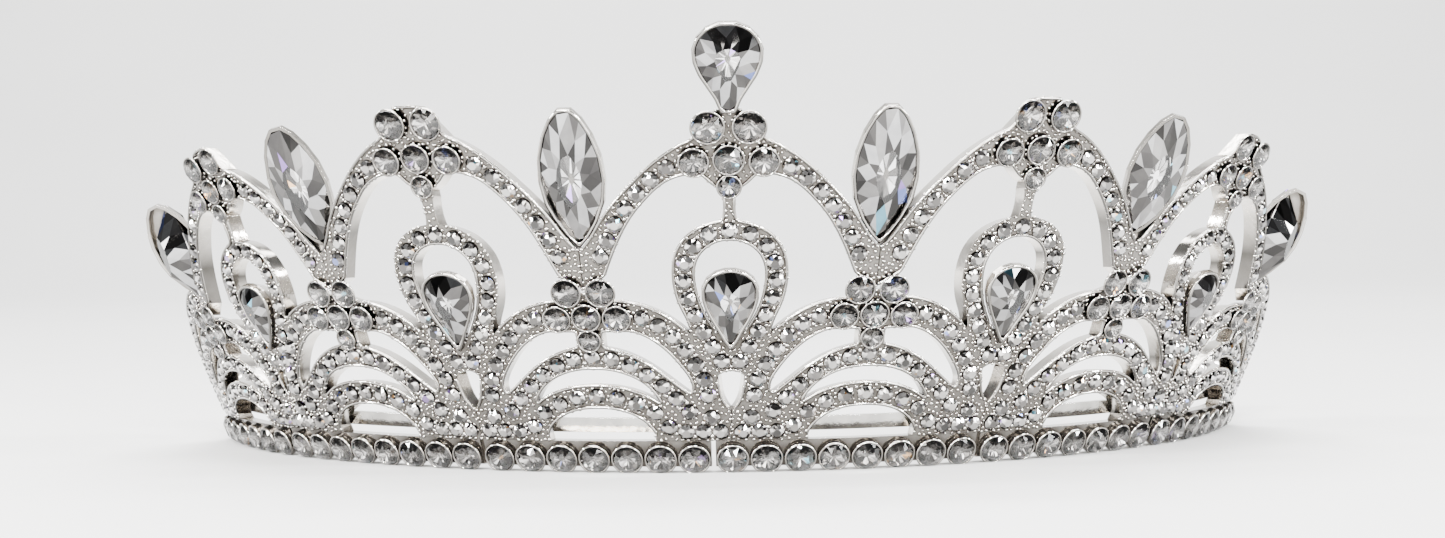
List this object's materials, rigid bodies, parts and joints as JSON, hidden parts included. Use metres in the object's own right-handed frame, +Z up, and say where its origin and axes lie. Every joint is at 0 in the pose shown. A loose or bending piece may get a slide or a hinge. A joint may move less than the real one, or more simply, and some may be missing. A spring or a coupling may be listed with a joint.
{
  "type": "bridal tiara",
  "caption": "Silver-plated openwork tiara: base row of round crystals, arched hill panels, pear loops, tall crest arches, upright marquise crystals and a centre teardrop.",
  "frame": {"origin": "middle of the footprint, on the plane the base row stands on", "axes": "+Z up; the tiara's front faces -Y; +X to the wearer's left; the open back is towards +Y"},
  "size_m": [0.1564, 0.0901, 0.0522],
  "materials": {
    "plated_casting": "polished silver plate",
    "band_wire": "polished silver plate",
    "crystal": "clear faceted, foil backed"
  },
  "bodies": {
    "root": {"base_stones": "crystal", "base_strip_left_1": "plated_casting", "base_strip_left_2": "plated_casting", "base_strip_left_3": "plated_casting", "base_strip_right_1": "plated_casting", "base_strip_right_2": "plated_casting", "base_strip_right_3": "plated_casting", "crest_centre": "plated_casting", "crest_clover_stones": "crystal", "crest_left_1": "plated_casting", "crest_left_2": "plated_casting", "crest_pave_stones": "crystal", "crest_right_1": "plated_casting", "crest_right_2": "plated_casting", "drop_bezel_centre": "plated_casting", "drop_bezel_left_1": "plated_casting", "drop_bezel_left_2": "plated_casting", "drop_bezel_right_1": "plated_casting", "drop_bezel_right_2": "plated_casting", "drop_stone_centre": "crystal", "drop_stone_left_1": "crystal", "drop_stone_left_2": "crystal", "drop_stone_right_1": "crystal", "drop_stone_right_2": "crystal", "end_scroll_left": "plated_casting", "end_scroll_right": "plated_casting", "eyelet_left": "plated_casting", "eyelet_right": "plated_casting", "hill_clover_stones": "crystal", "hill_panel_left_1": "plated_casting", "hill_panel_left_2": "plated_casting", "hill_panel_left_3": "plated_casting", "hill_panel_right_1": "plated_casting", "hill_panel_right_2": "plated_casting", "hill_panel_right_3": "plated_casting", "hill_pave_stones": "crystal", "inner_band": "band_wire", "loop_centre": "plated_casting", "loop_left_1": "plated_casting", "loop_left_2": "plated_casting", "loop_pave_stones": "crystal", "loop_right_1": "plated_casting", "loop_right_2": "plated_casting", "marquise_bezel_left_1": "plated_casting", "marquise_bezel_left_2": "plated_casting", "marquise_bezel_left_3": "plated_casting", "marquise_bezel_right_1": "plated_casting", "marquise_bezel_right_2": "plated_casting", "marquise_bezel_right_3": "plated_casting", "marquise_stone_left_1": "crystal", "marquise_stone_left_2": "crystal", "marquise_stone_left_3": "crystal", "marquise_stone_right_1": "crystal", "marquise_stone_right_2": "crystal", "marquise_stone_right_3": "crystal", "scroll_pave_stones": "crystal", "top_drop_bezel": "plated_casting", "top_drop_stone": "crystal"}
  },
  "joints": []
}
